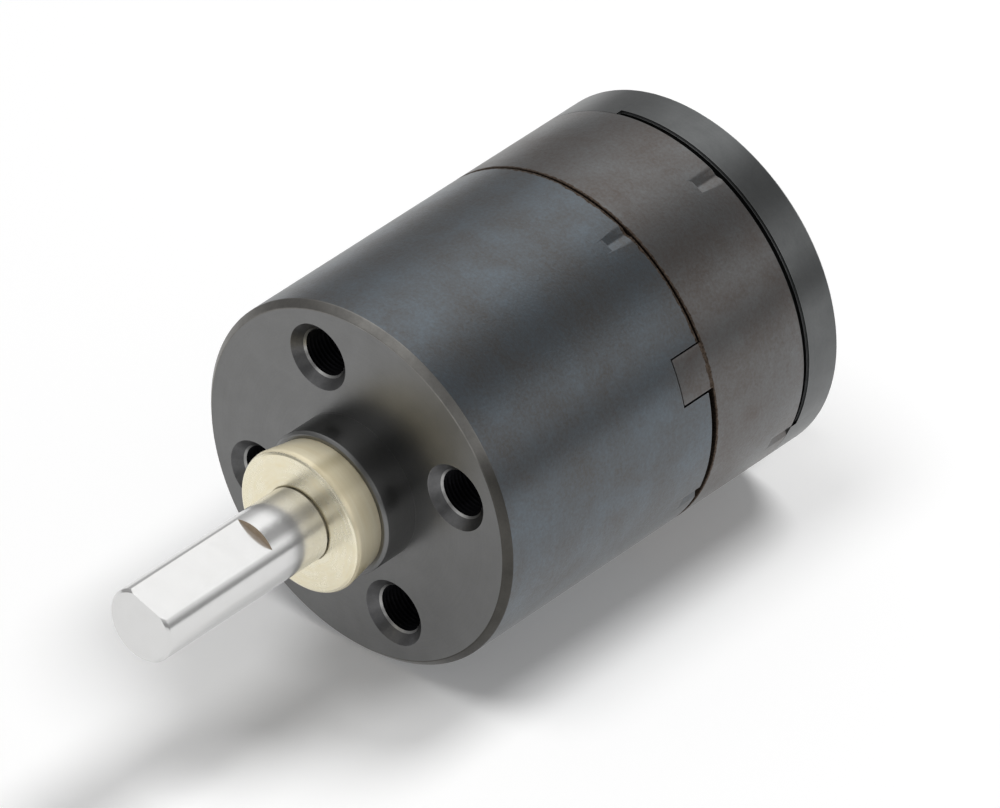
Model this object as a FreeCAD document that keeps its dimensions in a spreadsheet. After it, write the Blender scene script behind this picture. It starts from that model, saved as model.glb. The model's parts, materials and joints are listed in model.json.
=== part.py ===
import FreeCAD, Part
import Sketcher
import math
import os

# Mini gear motor with two planetary stages and a short three-pole brushed motor.
# The origin is the centre of the front mounting face. The output shaft points along -Y,
# the case runs along +Y and +Z is up. Lengths are in millimetres, angles in degrees.

# Driving sizes

SIZES = {
    # gear train
    "gear_module": 0.4,
    "flank_gap": 0.035,
    "ring_wall": 0.98,
    "output_gear_width": 2.6,
    "input_gear_width": 2.0,
    "output_carrier_width": 1.5,
    "stage_carrier_width": 1.2,
    "planet_pin_width": 1.5,
    "carrier_rim": 1.1,
    "stub_step": 0.5,
    "side_gap": 0.1,
    # fits
    "run_gap": 0.03,
    "seat_gap": 0.02,
    # front housing
    "housing_wall": 1.4,
    "face_wall": 5.0,
    "face_chamfer": 0.35,
    "boss_width": 7.88,
    "boss_length": 2.1,
    "boss_chamfer": 0.35,
    "hole_circle": 14.0,
    "hole_width": 2.75,
    "hole_depth": 3.6,
    "hole_sink": 0.45,
    "pattern_turn": 69.5,
    # output bush and shaft
    "bush_flange_width": 7.8,
    "bush_root_width": 7.2,
    "bush_flange_length": 2.05,
    "bush_sleeve_width": 5.6,
    "bush_chamfer": 0.12,
    "bush_mouth": 0.22,
    "shaft_width": 4.0,
    "shaft_reach": 15.5,
    "shaft_chamfer": 0.15,
    "flat_height": 3.6,
    "flat_length": 7.7,
    "flat_runout": 0.35,
    "flat_turn": 18.0,
    "journal_step": 0.2,
    "shaft_step": 0.2,
    "cut_margin": 1.0,
    "washer_rim": 1.57,
    "washer_thickness": 0.3,
    # joints between the case rings
    "tab_length": 2.1,
    "tab_angle": 14.4,
    "tab_play": 1.0,
    "tab_gap": 0.08,
    "seam_gap": 0.12,
    "pry_depth": 0.25,
    "pry_angle": 65.0,
    "groove_width": 0.4,
    "groove_depth": 0.5,
    "groove_angle": 127.4,
    "stake_length": 1.4,
    "stake_width": 0.8,
    "stake_depth": 0.18,
    "plate_width": 1.4,
    "spigot_length": 0.8,
    # motor
    "can_wall": 1.9,
    "core_front_space": 0.9,
    "core_length": 3.4,
    "core_rear_space": 2.3,
    "magnet_thickness": 2.0,
    "magnet_overhang": 0.4,
    "magnet_angle": 140.0,
    "air_gap": 0.3,
    "rotor_shaft_width": 1.5,
    "core_hub_wall": 0.9,
    "arm_width": 1.8,
    "shoe_thickness": 0.9,
    "slot_width": 1.2,
    "coil_thickness": 1.1,
    "coil_overhang": 0.55,
    "coil_space": 0.3,
    "commutator_space": 0.2,
    "hub_flange": 0.3,
    "commutator_width": 3.4,
    "bar_thickness": 0.35,
    "bar_slit": 0.25,
    "brush_width": 1.0,
    "brush_length": 1.2,
    "brush_reach": 1.4,
    "spring_thickness": 0.2,
    "spring_arm": 3.0,
    "post_width": 1.2,
    "post_cheek": 0.5,
    "holder_thickness": 0.8,
    "holder_space": 0.4,
    "front_bearing_width": 4.4,
    "bearing_step": 0.4,
    "rear_bearing_width": 4.6,
    "rear_bearing_length": 1.9,
    "spacer_width": 2.5,
    # rear cap and terminals
    "cap_length": 2.68,
    "cap_wall": 1.2,
    "cap_chamfer": 0.2,
    "rear_boss_width": 6.0,
    "rear_boss_length": 0.5,
    "end_wall": 0.3,
    "cap_turn": 49.3,
    "terminal_circle": 11.6,
    "terminal_width": 2.0,
    "terminal_thickness": 0.4,
    "terminal_reach": 3.4,
    "terminal_eye": 0.9,
    "sleeve_wall": 0.35,
    "sleeve_step": 0.3,
}

SUN_TEETH = 12
PLANET_TEETH = 12
RING_TEETH = SUN_TEETH + 2 * PLANET_TEETH
PLANETS = 3
PRESSURE_ANGLE = math.radians(20)
ADDENDUM = 0.8
DEDENDUM = 1.0

doc = FreeCAD.newDocument("MiniGearMotor")
sheet = doc.addObject("Spreadsheet::Sheet", "Sizes")
for row, (alias, number) in enumerate(SIZES.items(), start=1):
    sheet.set("A%d" % row, alias)
    sheet.set("B%d" % row, str(number))
    sheet.setAlias("B%d" % row, alias)
doc.recompute()


# Sizes that keep both their value and their spreadsheet expression


class Size:
    def __init__(self, value, text):
        self.value = float(value)
        self.text = text

    def __add__(self, other):
        other = as_size(other)
        return Size(self.value + other.value, "(%s + %s)" % (self.text, other.text))

    def __sub__(self, other):
        other = as_size(other)
        return Size(self.value - other.value, "(%s - %s)" % (self.text, other.text))

    def __mul__(self, other):
        other = as_size(other)
        return Size(self.value * other.value, "(%s * %s)" % (self.text, other.text))

    def __truediv__(self, other):
        other = as_size(other)
        return Size(self.value / other.value, "(%s / %s)" % (self.text, other.text))

    def __neg__(self):
        return Size(-self.value, "(0 - %s)" % self.text)

    def __radd__(self, other):
        return as_size(other) + self

    def __rsub__(self, other):
        return as_size(other) - self

    def __rmul__(self, other):
        return as_size(other) * self


def as_size(number):
    if isinstance(number, Size):
        return number
    return Size(number, "%.6f" % number)


def size(alias):
    return Size(SIZES[alias], "Sizes." + alias)


def root(number):
    return Size(math.sqrt(number.value), "sqrt(%s)" % number.text)


# Modelling helpers

PIECES = []


def place(piece, along=0, across=0, up=0, turn=0, turn_size=None):
    """Put a piece on the motor axis and turn it about that axis."""
    if turn_size is not None:
        turn = turn_size.value
    rotation = FreeCAD.Rotation(FreeCAD.Vector(0, 1, 0), turn)
    where = FreeCAD.Vector(as_size(across).value, as_size(along).value, as_size(up).value)
    piece.Placement = FreeCAD.Placement(where, rotation)
    piece.setExpression("Placement.Base.y", as_size(along).text)
    if isinstance(across, Size):
        piece.setExpression("Placement.Base.x", across.text)
    if isinstance(up, Size):
        piece.setExpression("Placement.Base.z", up.text)
    if turn_size is not None:
        piece.setExpression("Placement.Rotation.Angle", turn_size.text)


def new_body(label):
    body = doc.addObject("PartDesign::Body", label)
    body.Label = label
    PIECES.append(body)
    return body


def origin_item(body, role):
    return [item for item in body.Origin.OriginFeatures if item.Role == role][0]


def sketch_on(body, name, role, rise=None):
    sketch = body.newObject("Sketcher::SketchObject", name)
    sketch.AttachmentSupport = [(origin_item(body, role), "")]
    sketch.MapMode = "FlatFace"
    if rise is not None:
        sketch.AttachmentOffset = FreeCAD.Placement(
            FreeCAD.Vector(0, 0, as_size(rise).value), FreeCAD.Rotation())
        sketch.setExpression("AttachmentOffset.Base.z", as_size(rise).text)
    return sketch


def tie_point(sketch, index, x, y):
    """Hold the first point of a line at x, y."""
    for kind, axis, number in (("DistanceX", -2, as_size(x)), ("DistanceY", -1, as_size(y))):
        if number.value == 0 and not number.text.startswith("("):
            sketch.addConstraint(Sketcher.Constraint("PointOnObject", index, 1, axis))
            continue
        if number.value < 0:
            number = -number
            rule = Sketcher.Constraint(kind, index, 1, -1, 1, number.value)
        else:
            rule = Sketcher.Constraint(kind, -1, 1, index, 1, number.value)
        place_of_rule = sketch.addConstraint(rule)
        sketch.setExpression("Constraints[%d]" % place_of_rule, number.text)


def draw_polygon(sketch, points):
    start = sketch.GeometryCount
    corners = [FreeCAD.Vector(as_size(x).value, as_size(y).value, 0) for x, y in points]
    count = len(corners)
    lines = []
    joins = []
    for index in range(count):
        after = (index + 1) % count
        lines.append(Part.LineSegment(corners[index], corners[after]))
        joins.append(Sketcher.Constraint("Coincident", start + index, 2, start + after, 1))
    sketch.addGeometry(lines, False)
    sketch.addConstraint(joins)
    for index, (x, y) in enumerate(points):
        tie_point(sketch, start + index, x, y)


def draw_circle(sketch, x, y, radius):
    centre = FreeCAD.Vector(as_size(x).value, as_size(y).value, 0)
    index = sketch.addGeometry(Part.Circle(centre, FreeCAD.Vector(0, 0, 1), radius.value), False)
    rule = sketch.addConstraint(Sketcher.Constraint("Radius", index, radius.value))
    sketch.setExpression("Constraints[%d]" % rule, radius.text)
    for kind, axis, number in (("DistanceX", -2, as_size(x)), ("DistanceY", -1, as_size(y))):
        if number.value == 0:
            sketch.addConstraint(Sketcher.Constraint("PointOnObject", index, 3, axis))
            continue
        rule = sketch.addConstraint(Sketcher.Constraint(kind, -1, 1, index, 3, number.value))
        sketch.setExpression("Constraints[%d]" % rule, number.text)


def keep(body, feature):
    body.Tip = feature
    doc.recompute()
    return feature


def turned(body, name, points):
    """A turned solid: its profile is (radius, distance along the axis)."""
    sketch = sketch_on(body, name + "_profile", "XY_Plane")
    draw_polygon(sketch, points)
    solid = body.newObject("PartDesign::Revolution", name)
    solid.Profile = sketch
    solid.ReferenceAxis = (sketch, ["V_Axis"])
    solid.Angle = 360
    sketch.Visibility = False
    return keep(body, solid)


def padded(body, name, draw, length, start=0):
    """A boss that runs along +Y from start."""
    sketch = sketch_on(body, name + "_outline", "XZ_Plane", -as_size(start))
    draw(sketch)
    pad = body.newObject("PartDesign::Pad", name)
    pad.Profile = sketch
    pad.Length = as_size(length).value
    pad.setExpression("Length", as_size(length).text)
    pad.Reversed = True
    return keep(body, pad)


def pocketed(body, name, draw, length, start=0):
    """A hole that runs along +Y from start."""
    before = body.Shape.Volume
    sketch = sketch_on(body, name + "_outline", "XZ_Plane", -as_size(start))
    draw(sketch)
    cut = body.newObject("PartDesign::Pocket", name)
    cut.Profile = sketch
    cut.Length = as_size(length).value
    cut.setExpression("Length", as_size(length).text)
    keep(body, cut)
    if body.Shape.Volume >= before - 1e-6:
        cut.Reversed = True
        doc.recompute()
    if body.Shape.Volume >= before - 1e-6:
        raise RuntimeError(name + " cuts nothing")
    return cut


def around(body, name, feature, count):
    """Copies of a feature spaced evenly round the motor axis."""
    pattern = body.newObject("PartDesign::PolarPattern", name)
    pattern.Originals = [feature]
    pattern.Axis = (origin_item(body, "Y_Axis"), [""])
    pattern.Angle = 360
    pattern.Occurrences = count
    return keep(body, pattern)


# Sizes worked out from the driving sizes

module = size("gear_module")
centre_distance = module * ((SUN_TEETH + PLANET_TEETH) / 2)
ring_radius = module * (RING_TEETH / 2 + DEDENDUM) + size("ring_wall")
bore_radius = ring_radius + size("seat_gap")
case_radius = bore_radius + size("housing_wall")
shaft_radius = size("shaft_width") / 2
boss_radius = size("boss_width") / 2
pin_radius = size("planet_pin_width") / 2
carrier_radius = centre_distance + pin_radius + size("carrier_rim")
rotor_shaft_radius = size("rotor_shaft_width") / 2

washer_start = size("face_wall")
output_carrier_start = washer_start + size("washer_thickness") + size("side_gap")
output_carrier_end = output_carrier_start + size("output_carrier_width")
output_gears_start = output_carrier_end + size("side_gap")
output_gears_end = output_gears_start + size("output_gear_width")
stage_carrier_start = output_gears_end + size("side_gap")
stage_carrier_end = stage_carrier_start + size("stage_carrier_width")
input_gears_start = stage_carrier_end + size("side_gap")
input_gears_end = input_gears_start + size("input_gear_width")
plate_start = input_gears_end + size("side_gap")
plate_end = plate_start + size("plate_width")
housing_length = plate_end + size("spigot_length")

can_start = housing_length + size("seam_gap")
can_length = size("core_front_space") + size("core_length") + size("core_rear_space")
can_inside = case_radius - size("can_wall")
core_start = can_start + size("core_front_space")
core_end = core_start + size("core_length")
cap_start = can_start + can_length
cap_inside = can_inside - size("spigot_length")
cap_floor = cap_start + size("cap_length") - size("cap_wall")
cap_end = cap_start + size("cap_length")
holder_start = cap_floor - size("holder_thickness")
rear_bearing_end = cap_end + size("rear_boss_length") - size("end_wall")
rear_bearing_start = rear_bearing_end - size("rear_bearing_length")
front_bearing_end = plate_end + size("bearing_step")
magnet_radius = can_inside - size("seat_gap")
core_radius = magnet_radius - size("magnet_thickness") - size("air_gap")
coil_start = core_start - size("coil_overhang")
coil_end = core_end + size("coil_overhang")
commutator_start = coil_end + size("commutator_space")
commutator_end = holder_start - size("commutator_space")
commutator_radius = size("commutator_width") / 2


# Gear teeth


def involute(angle):
    return math.tan(angle) - angle


def half_tooth(teeth, radius, inward):
    """Half the tooth's angle at a radius given in modules."""
    base = teeth / 2 * math.cos(PRESSURE_ANGLE)
    angle = math.acos(min(1.0, base / radius))
    change = involute(PRESSURE_ANGLE) - involute(angle)
    return math.pi / (2 * teeth) + (-change if inward else change)


def tooth_outline(teeth, inward=False):
    """A tooth that stands along +Z, as two flanks of three points and a foot in the blank."""
    pitch = teeth / 2
    out = -1 if inward else 1
    levels = [pitch - out * DEDENDUM, pitch, pitch + out * ADDENDUM]
    right = []
    for level in levels:
        angle = half_tooth(teeth, level, inward)
        x = module * (level * math.sin(angle)) - size("flank_gap")
        right.append((x, module * (level * math.cos(angle))))
    foot = (right[0][0], right[0][1] - module * (0.25 * out))
    right.insert(0, foot)
    left = [(-x, z) for x, z in reversed(right)]
    return right + left


def add_teeth(body, teeth, width, start=0, inward=False):
    outline = tooth_outline(teeth, inward)

    def draw(sketch):
        draw_polygon(sketch, outline)

    tooth = padded(body, body.Label + "_tooth", draw, width, start)
    return around(body, body.Label + "_teeth", tooth, teeth)


def planet_turn(place_angle):
    """The turn that puts a planet in mesh with the ring gear, whose first tooth is at +Z."""
    return place_angle - (place_angle * RING_TEETH - 180) / PLANET_TEETH


# The turn that puts a sun gear in mesh with the first planet
SUN_TURN = ((180 - planet_turn(0)) * PLANET_TEETH - 180) / SUN_TEETH


def planet_gear(label, width, index, start):
    body = new_body(label)
    bore = pin_radius + size("run_gap")
    blank = module * (PLANET_TEETH / 2 - DEDENDUM)
    turned(body, label + "_blank", [(bore, 0), (blank, 0), (blank, width), (bore, width)])
    add_teeth(body, PLANET_TEETH, width)
    place_angle = 360.0 / PLANETS * index
    mesh_angle = planet_turn(place_angle)
    sine = math.sin(math.radians(place_angle))
    cosine = math.cos(math.radians(place_angle))
    place(body, start, centre_distance * sine, centre_distance * cosine, mesh_angle)
    return body


# Front housing: mounting face, boss, tapped holes, notch for the can's tab and stake marks

def at_angle(radius, aside, degrees):
    """A point at a radius, moved aside, on a line at an angle from +Z towards +X."""
    sine = math.sin(math.radians(degrees))
    cosine = math.cos(math.radians(degrees))
    return (radius * sine + aside * cosine, radius * cosine - aside * sine)


def draw_stake(sketch):
    rim = case_radius + 0.5
    half = size("stake_width") / 2
    floor = case_radius - size("stake_depth")
    wide = half * (1 + 0.5 / SIZES["stake_depth"])
    draw_polygon(sketch, [at_angle(floor, 0, 45), at_angle(rim, wide, 45), at_angle(rim, -wide, 45)])


def arc_cut(body, name, points, angle, both_ways=True, adds=False):
    """Part of a ring about the motor axis: points are (distance along the axis, radius)."""
    sketch = sketch_on(body, name + "_profile", "YZ_Plane")
    draw_polygon(sketch, points)
    kind = "PartDesign::Revolution" if adds else "PartDesign::Groove"
    feature = body.newObject(kind, name)
    feature.Profile = sketch
    feature.ReferenceAxis = (sketch, ["H_Axis"])
    feature.Midplane = both_ways
    feature.Angle = as_size(angle).value
    feature.setExpression("Angle", as_size(angle).text)
    return keep(body, feature)


housing = new_body("front_housing")
sleeve_bore = size("bush_sleeve_width") / 2 + size("seat_gap")
turned(housing, "housing_shell", [
    (sleeve_bore, -size("boss_length")),
    (boss_radius - size("boss_chamfer"), -size("boss_length")),
    (boss_radius, -size("boss_length") + size("boss_chamfer")),
    (boss_radius, 0),
    (case_radius - size("face_chamfer"), 0),
    (case_radius, size("face_chamfer")),
    (case_radius, housing_length),
    (bore_radius, housing_length),
    (bore_radius, size("face_wall")),
    (sleeve_bore, size("face_wall")),
])


def draw_screw_hole(sketch):
    draw_circle(sketch, 0, size("hole_circle") / 2, size("hole_width") / 2)


screw_hole = pocketed(housing, "screw_hole", draw_screw_hole, size("hole_depth"))
screw_holes = around(housing, "screw_holes", screw_hole, 4)
mouths = []
for number, edge in enumerate(housing.Shape.Edges, start=1):
    curve = edge.Curve
    if not isinstance(curve, Part.Circle):
        continue
    if abs(curve.Radius - SIZES["hole_width"] / 2) < 1e-4 and abs(edge.CenterOfMass.y) < 1e-4:
        mouths.append("Edge%d" % number)
sinks = housing.newObject("PartDesign::Chamfer", "hole_sinks")
sinks.Base = (screw_holes, mouths)
sinks.Size = SIZES["hole_sink"]
sinks.setExpression("Size", size("hole_sink").text)
keep(housing, sinks)

notch_start = can_start - size("tab_length") - size("tab_gap")
arc_cut(housing, "tab_notch", [
    (notch_start, bore_radius - 0.5),
    (housing_length + 0.5, bore_radius - 0.5),
    (housing_length + 0.5, case_radius + 0.5),
    (notch_start, case_radius + 0.5),
], size("tab_angle") + size("tab_play"))
arc_cut(housing, "pry_gap", [
    (housing_length - size("pry_depth"), bore_radius - 0.5),
    (housing_length + 0.5, bore_radius - 0.5),
    (housing_length + 0.5, case_radius + 0.5),
    (housing_length - size("pry_depth"), case_radius + 0.5),
], size("pry_angle"), both_ways=False)
stake = pocketed(housing, "stake", draw_stake, size("stake_length") + 0.5,
                 housing_length - size("stake_length"))
around(housing, "stakes", stake, 4)
place(housing, 0, turn_size=size("pattern_turn"))


# Output bush

bush = new_body("output_bush")
journal_radius = shaft_radius - size("journal_step")
bush_bore = journal_radius + size("run_gap")
flange_radius = size("bush_flange_width") / 2
bush_end = size("bush_flange_length") + size("boss_length") + size("face_wall")
turned(bush, "bush_solid", [
    (bush_bore + size("bush_mouth"), 0),
    (flange_radius - size("bush_chamfer"), 0),
    (flange_radius, size("bush_chamfer")),
    (size("bush_root_width") / 2, size("bush_flange_length")),
    (size("bush_sleeve_width") / 2, size("bush_flange_length")),
    (size("bush_sleeve_width") / 2, bush_end),
    (bush_bore, bush_end),
    (bush_bore, size("bush_mouth")),
])
place(bush, -size("boss_length") - size("bush_flange_length"))


# Output shaft: a D end, and behind it a round part with a shoulder that stops it from going in

shaft = new_body("output_shaft")
neck_radius = journal_radius - size("shaft_step")
shoulder_start = -size("boss_length") - size("bush_flange_length") - size("side_gap")
flat_level = size("flat_height") - shaft_radius
flat_end = size("flat_length") - size("shaft_reach")
flat_foot = flat_end - size("flat_runout")


def shaft_cut(name, points):
    """A cut straight through the shaft: points are (distance along the axis, height)."""
    sketch = sketch_on(shaft, name + "_outline", "YZ_Plane")
    draw_polygon(sketch, points)
    cut = shaft.newObject("PartDesign::Pocket", name)
    cut.Profile = sketch
    cut.Midplane = True
    cut.Length = 2 * SIZES["shaft_width"]
    cut.setExpression("Length", (size("shaft_width") * 2).text)
    cut.Refine = False
    return keep(shaft, cut)


turned(shaft, "shaft_end", [
    (0, -size("shaft_reach")),
    (shaft_radius - size("shaft_chamfer"), -size("shaft_reach")),
    (shaft_radius, size("shaft_chamfer") - size("shaft_reach")),
    (shaft_radius, flat_foot),
    (0, flat_foot),
])
shaft_cut("shaft_flat", [
    (-size("shaft_reach") - size("cut_margin"), flat_level),
    (flat_foot, flat_level),
    (flat_foot, shaft_radius + size("cut_margin")),
    (-size("shaft_reach") - size("cut_margin"), shaft_radius + size("cut_margin")),
])
shaft_round = turned(shaft, "shaft_round", [
    (0, flat_foot),
    (shaft_radius, flat_foot),
    (shaft_radius, shoulder_start),
    (journal_radius, shoulder_start),
    (journal_radius, output_carrier_start),
    (neck_radius, output_carrier_start),
    (neck_radius, output_carrier_end),
    (0, output_carrier_end),
])
shaft_round.Refine = False
shaft_cut("flat_runout", [
    (flat_foot, flat_level),
    (flat_end, shaft_radius),
    (flat_end, shaft_radius + size("cut_margin")),
    (flat_foot, shaft_radius + size("cut_margin")),
])
place(shaft, 0, turn_size=size("flat_turn"))

washer = new_body("thrust_washer")
turned(washer, "washer_solid", [
    (bush_bore, 0),
    (bush_bore + size("washer_rim"), 0),
    (bush_bore + size("washer_rim"), size("washer_thickness")),
    (bush_bore, size("washer_thickness")),
])
place(washer, washer_start)


# Carriers, each a disc with three riveted planet pins


def draw_pin(sketch):
    draw_circle(sketch, 0, centre_distance, pin_radius)


def carrier(label, width, bore, reach, start):
    body = new_body(label)
    turned(body, label + "_disc", [(bore, 0), (carrier_radius, 0), (carrier_radius, width), (bore, width)])
    pin = padded(body, label + "_pin", draw_pin, reach)
    around(body, label + "_pins", pin, PLANETS)
    place(body, start)
    return body


stub_radius = module * (SUN_TEETH / 2 - DEDENDUM) - size("stub_step")
carrier("output_carrier", size("output_carrier_width"), neck_radius + size("seat_gap"),
        output_gears_end - output_carrier_start, output_carrier_start)
carrier("stage_carrier", size("stage_carrier_width"), stub_radius + size("seat_gap"),
        input_gears_end - stage_carrier_start, stage_carrier_start)


# Planet gears, sun gears and the ring gear

for index, letter in enumerate("abc"):
    planet_gear("output_planet_" + letter, size("output_gear_width"), index, output_gears_start)
for index, letter in enumerate("abc"):
    planet_gear("input_planet_" + letter, size("input_gear_width"), index, input_gears_start)

sun_blank = module * (SUN_TEETH / 2 - DEDENDUM)
sun_length = stage_carrier_start - output_gears_start
stage_sun = new_body("stage_sun")
turned(stage_sun, "stage_sun_blank", [
    (0, 0),
    (sun_blank, 0),
    (sun_blank, sun_length),
    (stub_radius, sun_length),
    (stub_radius, sun_length + size("stage_carrier_width")),
    (0, sun_length + size("stage_carrier_width")),
])
add_teeth(stage_sun, SUN_TEETH, size("output_gear_width"))
place(stage_sun, output_gears_start, turn=SUN_TURN)

pinion = new_body("motor_pinion")
pinion_bore = rotor_shaft_radius + size("seat_gap")
turned(pinion, "pinion_blank", [
    (pinion_bore, 0),
    (sun_blank, 0),
    (sun_blank, size("input_gear_width")),
    (pinion_bore, size("input_gear_width")),
])
add_teeth(pinion, SUN_TEETH, size("input_gear_width"))
place(pinion, input_gears_start, turn=SUN_TURN)

ring_gear = new_body("ring_gear")
ring_root = module * (RING_TEETH / 2 + DEDENDUM)
ring_length = plate_start - size("face_wall")
tooth_start = output_gears_start - size("face_wall")
turned(ring_gear, "ring_blank", [
    (ring_root, 0),
    (ring_radius, 0),
    (ring_radius, ring_length),
    (ring_root, ring_length),
])
add_teeth(ring_gear, RING_TEETH, input_gears_end - output_gears_start, tooth_start, inward=True)
place(ring_gear, size("face_wall"))


# Motor front plate and bearings

plate = new_body("motor_plate")
plate_bore = size("front_bearing_width") / 2 + size("seat_gap")
plate_radius = bore_radius - size("seat_gap")
turned(plate, "plate_disc", [
    (plate_bore, 0),
    (plate_radius, 0),
    (plate_radius, size("plate_width")),
    (plate_bore, size("plate_width")),
])
place(plate, plate_start)


def bearing(label, radius, length, start):
    body = new_body(label)
    bore = rotor_shaft_radius + size("run_gap")
    turned(body, label + "_solid", [(bore, 0), (radius, 0), (radius, length), (bore, length)])
    place(body, start)
    return body


bearing("front_bearing", size("front_bearing_width") / 2, front_bearing_end - plate_start, plate_start)
bearing("rear_bearing", size("rear_bearing_width") / 2, size("rear_bearing_length"), rear_bearing_start)


# Motor can with the locking tab and stake marks

can = new_body("motor_can")
spigot = size("spigot_length") + size("seam_gap")
turned(can, "can_shell", [
    (can_inside, -spigot),
    (plate_radius, -spigot),
    (plate_radius, 0),
    (case_radius, 0),
    (case_radius, can_length),
    (can_inside, can_length),
])
arc_cut(can, "tab", [
    (-size("tab_length"), bore_radius),
    (size("tab_gap"), bore_radius),
    (size("tab_gap"), case_radius),
    (-size("tab_length"), case_radius),
], size("tab_angle"), adds=True)
can_stake = pocketed(can, "can_stake", draw_stake, size("stake_length") + 0.5,
                     can_length - size("stake_length"))
around(can, "can_stakes", can_stake, 4)
place(can, can_start, turn_size=size("pattern_turn"))

magnets = new_body("magnets")
magnet = arc_cut(magnets, "magnet", [
    (0, magnet_radius - size("magnet_thickness")),
    (size("core_length") + size("magnet_overhang") * 2, magnet_radius - size("magnet_thickness")),
    (size("core_length") + size("magnet_overhang") * 2, magnet_radius),
    (0, magnet_radius),
], size("magnet_angle"), adds=True)
around(magnets, "magnet_pair", magnet, 2)
place(magnets, core_start - size("magnet_overhang"), turn_size=size("cap_turn"))


# Rotor: shaft, laminated core, coils, commutator and spacers

rotor_shaft = new_body("rotor_shaft")
rotor_shaft_end = rear_bearing_end - size("side_gap")
turned(rotor_shaft, "rotor_shaft_solid", [
    (0, 0),
    (rotor_shaft_radius, 0),
    (rotor_shaft_radius, rotor_shaft_end - input_gears_start),
    (0, rotor_shaft_end - input_gears_start),
])
place(rotor_shaft, input_gears_start)

core = new_body("rotor_core")
core_bore = rotor_shaft_radius + size("seat_gap")
hub_radius = core_bore + size("core_hub_wall")
shoe_inside = core_radius - size("shoe_thickness")
turned(core, "core_hub", [
    (core_bore, 0),
    (hub_radius, 0),
    (hub_radius, size("core_length")),
    (core_bore, size("core_length")),
])


def draw_arm(sketch):
    half = size("arm_width") / 2
    draw_polygon(sketch, [
        (-half, hub_radius - 0.4),
        (half, hub_radius - 0.4),
        (half, shoe_inside + 0.3),
        (-half, shoe_inside + 0.3),
    ])


arm = padded(core, "core_arm", draw_arm, size("core_length"))
around(core, "core_arms", arm, 3)
turned(core, "core_shoes", [
    (shoe_inside, 0),
    (core_radius, 0),
    (core_radius, size("core_length")),
    (shoe_inside, size("core_length")),
])


def draw_slot(sketch):
    half = size("slot_width") / 2
    draw_polygon(sketch, [
        (-half, -core_radius - 0.5),
        (half, -core_radius - 0.5),
        (half, 0.3 - shoe_inside),
        (-half, 0.3 - shoe_inside),
    ])


slot = pocketed(core, "core_slot", draw_slot, size("core_length"))
around(core, "core_slots", slot, 3)
place(core, core_start)

coils = new_body("rotor_coils")
coil_inside = hub_radius + size("coil_space")
coil_half = size("arm_width") / 2 + size("coil_thickness")
coil_outside = root(shoe_inside * shoe_inside - coil_half * coil_half) - size("coil_space")
coil_corner = size("coil_overhang") * 0.6
coil_sketch = sketch_on(coils, "coil_outline", "XY_Plane", coil_inside)
draw_polygon(coil_sketch, [
    (coil_corner - coil_half, -size("coil_overhang")),
    (coil_half - coil_corner, -size("coil_overhang")),
    (coil_half, coil_corner - size("coil_overhang")),
    (coil_half, size("core_length") + size("coil_overhang") - coil_corner),
    (coil_half - coil_corner, size("core_length") + size("coil_overhang")),
    (coil_corner - coil_half, size("core_length") + size("coil_overhang")),
    (-coil_half, size("core_length") + size("coil_overhang") - coil_corner),
    (-coil_half, coil_corner - size("coil_overhang")),
])
window = size("arm_width") / 2 + size("seat_gap")
draw_polygon(coil_sketch, [
    (-window, -size("seat_gap")),
    (window, -size("seat_gap")),
    (window, size("core_length") + size("seat_gap")),
    (-window, size("core_length") + size("seat_gap")),
])
coil = coils.newObject("PartDesign::Pad", "coil")
coil.Profile = coil_sketch
coil.Length = (coil_outside - coil_inside).value
coil.setExpression("Length", (coil_outside - coil_inside).text)
keep(coils, coil)
around(coils, "coil_set", coil, 3)
place(coils, core_start)

hub = new_body("commutator_hub")
bar_inside = commutator_radius - size("bar_thickness")
commutator_length = commutator_end - commutator_start
turned(hub, "commutator_hub_solid", [
    (core_bore, 0),
    (commutator_radius, 0),
    (commutator_radius, size("hub_flange")),
    (bar_inside - size("seat_gap"), size("hub_flange")),
    (bar_inside - size("seat_gap"), commutator_length),
    (core_bore, commutator_length),
])
place(hub, commutator_start)

bars = new_body("commutator_bars")
bar_length = commutator_length - size("hub_flange")
turned(bars, "bar_ring", [
    (bar_inside, 0),
    (commutator_radius, 0),
    (commutator_radius, bar_length),
    (bar_inside, bar_length),
])


def draw_slit(sketch):
    half = size("bar_slit") / 2
    draw_polygon(sketch, [
        (-half, -commutator_radius - 0.5),
        (half, -commutator_radius - 0.5),
        (half, 0.3 - bar_inside),
        (-half, 0.3 - bar_inside),
    ])


slit = pocketed(bars, "bar_slit_cut", draw_slit, bar_length)
around(bars, "bar_slits", slit, 3)
place(bars, commutator_start + size("hub_flange"))

spacers = new_body("rotor_spacers")
spacer_radius = size("spacer_width") / 2
spacer_start = front_bearing_end + size("side_gap")
rear_spacer_start = commutator_end - spacer_start
rear_spacer_end = rear_bearing_start - size("side_gap") - spacer_start
turned(spacers, "front_spacer", [
    (core_bore, 0),
    (spacer_radius, 0),
    (spacer_radius, core_start - spacer_start),
    (core_bore, core_start - spacer_start),
])
turned(spacers, "rear_spacer", [
    (core_bore, rear_spacer_start),
    (spacer_radius, rear_spacer_start),
    (spacer_radius, rear_spacer_end),
    (core_bore, rear_spacer_end),
])
place(spacers, spacer_start)


# Brush gear

terminal_place = size("terminal_circle") / 2
post_inside = size("brush_width") / 2 + size("spring_arm")
brush_inside = commutator_radius + size("run_gap")
brush_outside = brush_inside + size("brush_reach")
spring_outside = brush_outside + size("spring_thickness")
brush_start = commutator_end - size("commutator_space") - size("brush_length")


def rectangle(sketch, left, right, low, high):
    draw_polygon(sketch, [(left, low), (right, low), (right, high), (left, high)])


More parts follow.
